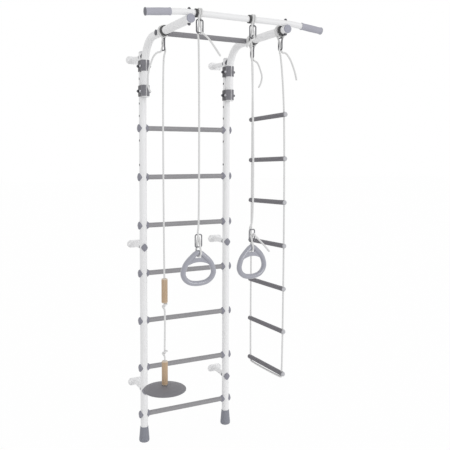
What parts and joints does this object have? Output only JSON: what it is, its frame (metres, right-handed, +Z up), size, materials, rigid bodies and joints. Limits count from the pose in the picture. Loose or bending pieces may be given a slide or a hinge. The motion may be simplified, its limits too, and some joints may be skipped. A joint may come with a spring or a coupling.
{
  "type": "childrens sports complex",
  "caption": "Wall-mounted steel wall bars with a bent-arm gantry that carries a pull-up bar, gym rings, a disc rope swing and a rope ladder.",
  "frame": {"origin": "on the floor, midway between the axes of the two uprights", "axes": "+Z up, +Y towards the wall, +X from the left upright to the right one as seen from the room"},
  "size_m": [0.8784, 0.757, 2.1364],
  "materials": {
    "white_paint": "smooth satin white powder coat on steel tube",
    "rung_grey": "satin grey plastic cover on the bar, collars and caps",
    "foot_rubber": "matt grey rubber boot",
    "clamp_grey": "matt mid grey moulding with dark bolt heads",
    "grip_foam": "soft matt light grey grip",
    "sleeve_rubber": "matt dark grey ring",
    "rope": "twisted off-white cord",
    "link_steel": "plain steel wire frame",
    "ring_plastic": "satin cool grey moulding",
    "handle_wood": "pale birch, sanded and lightly varnished",
    "disc_plastic": "matt warm grey moulding",
    "ladder_rung_grey": "satin dark grey round rung with light end plugs"
  },
  "bodies": {
    "frame": {"wall_bar_rung_1": "rung_grey", "wall_bar_rung_2": "rung_grey", "wall_bar_rung_3": "rung_grey", "wall_bar_rung_4": "rung_grey", "wall_bar_rung_5": "rung_grey", "wall_bar_rung_6": "rung_grey", "wall_bar_rung_7": "rung_grey", "left_upright": "white_paint", "right_upright": "white_paint", "left_foot": "foot_rubber", "right_foot": "foot_rubber", "left_wall_bracket_1": "white_paint", "left_wall_bracket_2": "white_paint", "left_wall_bracket_3": "white_paint", "right_wall_bracket_1": "white_paint", "right_wall_bracket_2": "white_paint", "right_wall_bracket_3": "white_paint", "left_arm": "white_paint", "right_arm": "white_paint", "left_clamp_1_left_half": "clamp_grey", "left_clamp_1_right_half": "clamp_grey", "left_clamp_2_left_half": "clamp_grey", "left_clamp_2_right_half": "clamp_grey", "right_clamp_1_left_half": "clamp_grey", "right_clamp_1_right_half": "clamp_grey", "right_clamp_2_left_half": "clamp_grey", "right_clamp_2_right_half": "clamp_grey", "arm_crossbar": "rung_grey", "pull_up_bar": "white_paint", "left_grip": "grip_foam", "right_grip": "grip_foam", "disc_rope_sleeve": "sleeve_rubber", "left_ring_rope_sleeve": "sleeve_rubber", "right_ring_rope_sleeve": "sleeve_rubber", "ladder_back_sleeve": "sleeve_rubber", "ladder_front_sleeve": "sleeve_rubber"},
    "left_ring_hanger": {"left_ring_rope": "rope", "left_ring_rope_link": "link_steel", "left_ring_link": "link_steel"},
    "right_ring_hanger": {"right_ring_rope": "rope", "right_ring_rope_link": "link_steel", "right_ring_link": "link_steel"},
    "left_ring": {"left_gym_ring": "ring_plastic"},
    "right_ring": {"right_gym_ring": "ring_plastic"},
    "disc_swing": {"disc_swing_rope": "rope", "disc_rope_link": "link_steel"},
    "upper_handle": {"upper_rope_handle": "handle_wood"},
    "lower_handle": {"lower_rope_handle": "handle_wood"},
    "disc": {"disc_seat": "disc_plastic"},
    "rope_ladder": {"ladder_rope": "rope", "ladder_back_link": "link_steel", "ladder_front_link": "link_steel", "ladder_rung_1": "ladder_rung_grey", "ladder_rung_2": "ladder_rung_grey", "ladder_rung_3": "ladder_rung_grey", "ladder_rung_4": "ladder_rung_grey", "ladder_rung_5": "ladder_rung_grey", "ladder_rung_6": "ladder_rung_grey", "ladder_rung_7": "ladder_rung_grey"}
  },
  "joints": [
    {"name": "left_ring_swing", "type": "hinge", "parent": "frame", "child": "left_ring_hanger", "pos_m": [-0.1908, -0.591, 2.114], "axis": [1, 0, 0], "range_deg": [-60, 8]},
    {"name": "right_ring_swing", "type": "hinge", "parent": "frame", "child": "right_ring_hanger", "pos_m": [0.069, -0.591, 2.114], "axis": [1, 0, 0], "range_deg": [-60, 25]},
    {"name": "left_ring_tilt", "type": "hinge", "parent": "left_ring_hanger", "child": "left_ring", "pos_m": [-0.196, -0.591, 1.088], "axis": [1, 0, 0], "range_deg": [-20, 20]},
    {"name": "right_ring_tilt", "type": "hinge", "parent": "right_ring_hanger", "child": "right_ring", "pos_m": [0.071, -0.591, 1.096], "axis": [0.9848, 0.1736, 0], "range_deg": [-20, 20]},
    {"name": "disc_swing_pendulum", "type": "hinge", "parent": "frame", "child": "disc_swing", "pos_m": [-0.24, -0.293, 2.086], "axis": [0, 1, 0], "range_deg": [-8, 35]},
    {"name": "upper_handle_slide", "type": "slide", "parent": "disc_swing", "child": "upper_handle", "axis": [0, 0, 1], "range_m": [0, 0.3]},
    {"name": "lower_handle_slide", "type": "slide", "parent": "disc_swing", "child": "lower_handle", "axis": [0, 0, 1], "range_m": [0, 0.015]},
    {"name": "disc_spin", "type": "hinge", "parent": "disc_swing", "child": "disc", "pos_m": [-0.24, -0.2982, 0.39], "axis": [0, 0, 1], "continuous": true},
    {"name": "ladder_swing", "type": "hinge", "parent": "frame", "child": "rope_ladder", "pos_m": [0.24, -0.41, 2.086], "axis": [0, 1, 0], "range_deg": [-35, 2]}
  ]
}
